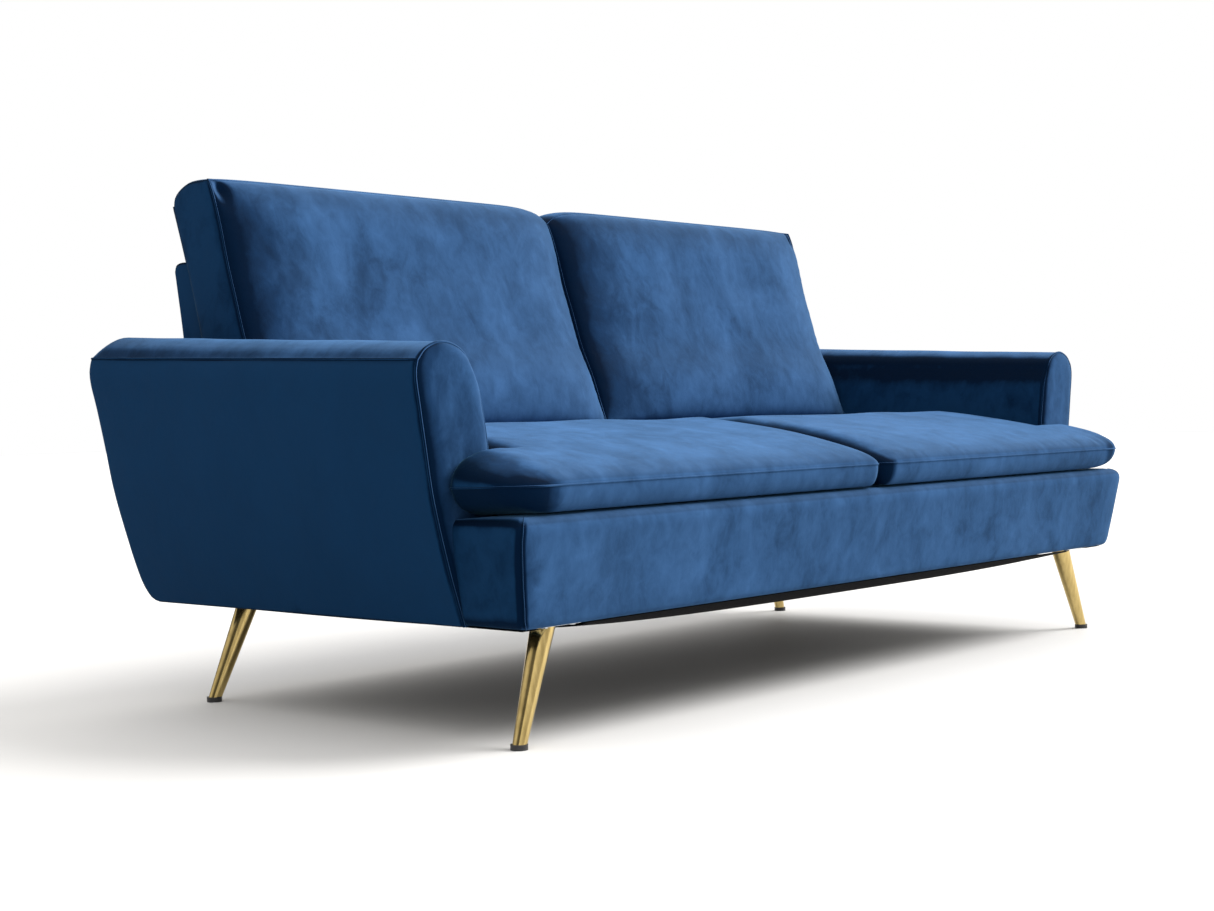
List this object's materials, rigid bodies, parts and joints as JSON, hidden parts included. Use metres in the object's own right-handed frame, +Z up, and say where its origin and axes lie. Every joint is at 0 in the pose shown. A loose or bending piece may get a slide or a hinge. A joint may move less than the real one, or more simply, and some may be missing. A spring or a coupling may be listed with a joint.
{
  "type": "sofa",
  "caption": "Upholstered sofa with loose seat and back cushions, splayed padded arms, a padded base box and tapered metal legs.",
  "frame": {"origin": "on the floor under the middle of the sofa's box", "axes": "+X to the right as seen by someone facing the sofa, +Y to the back, +Z up"},
  "size_m": [1.9144, 0.922, 0.864],
  "materials": {
    "velvet": "matte",
    "foam": "matte",
    "hardwood": "matte",
    "brass_leg": "satin",
    "glide_plastic": "matte",
    "zinc_steel": "satin",
    "webbing": "matte",
    "deck_cloth": "matte",
    "dust_cloth": "matte"
  },
  "bodies": {
    "frame": {"apron_cover": "velvet", "front_rail": "hardwood", "front_inner_rail": "hardwood", "apron_end_boards": "hardwood", "side_rail_left": "hardwood", "side_rail_right": "hardwood", "rear_rail": "hardwood", "centre_rail": "hardwood", "leg_mount_boards": "hardwood", "seat_webbing": "webbing", "cross_webbing": "webbing", "seat_deck_pad": "deck_cloth", "dust_cover": "dust_cloth", "arm_frame_left": "hardwood", "arm_outer_panel_left": "velvet", "arm_front_facing_left": "velvet", "arm_wrap_left": "velvet", "arm_frame_right": "hardwood", "arm_outer_panel_right": "velvet", "arm_front_facing_right": "velvet", "arm_wrap_right": "velvet", "arm_bolts": "zinc_steel", "back_post_left": "hardwood", "back_post_middle": "hardwood", "back_post_right": "hardwood", "back_top_rail": "hardwood", "back_lower_rail": "hardwood", "back_webbing": "webbing", "back_pad": "velvet", "back_cover": "velvet", "back_dowels": "hardwood", "leg_plate_front_left": "zinc_steel", "leg_plate_front_right": "zinc_steel", "leg_plate_rear_left": "zinc_steel", "leg_plate_rear_right": "zinc_steel", "leg_plate_screws": "zinc_steel", "leg_front_left": "brass_leg", "leg_front_right": "brass_leg", "leg_rear_left": "brass_leg", "leg_rear_right": "brass_leg", "glide_front_left": "glide_plastic", "glide_front_right": "glide_plastic", "glide_rear_left": "glide_plastic", "glide_rear_right": "glide_plastic"},
    "seat_left": {"seat_cushion_cover_left": "velvet", "seat_cushion_core_left": "foam"},
    "seat_right": {"seat_cushion_cover_right": "velvet", "seat_cushion_core_right": "foam"},
    "back_left": {"back_cushion_cover_left": "velvet", "back_cushion_core_left": "foam"},
    "back_right": {"back_cushion_cover_right": "velvet", "back_cushion_core_right": "foam"}
  },
  "joints": [
    {"name": "seat_left_pull", "type": "slide", "parent": "frame", "child": "seat_left", "axis": [0, -0.9986, 0.0523], "range_m": [0, 0.15]},
    {"name": "seat_right_pull", "type": "slide", "parent": "frame", "child": "seat_right", "axis": [0, -0.9986, 0.0523], "range_m": [0, 0.15]},
    {"name": "back_left_lift", "type": "slide", "parent": "frame", "child": "back_left", "axis": [0, 0.2696, 0.963], "range_m": [0, 0.25]},
    {"name": "back_right_lift", "type": "slide", "parent": "frame", "child": "back_right", "axis": [0, 0.2696, 0.963], "range_m": [0, 0.25]}
  ]
}
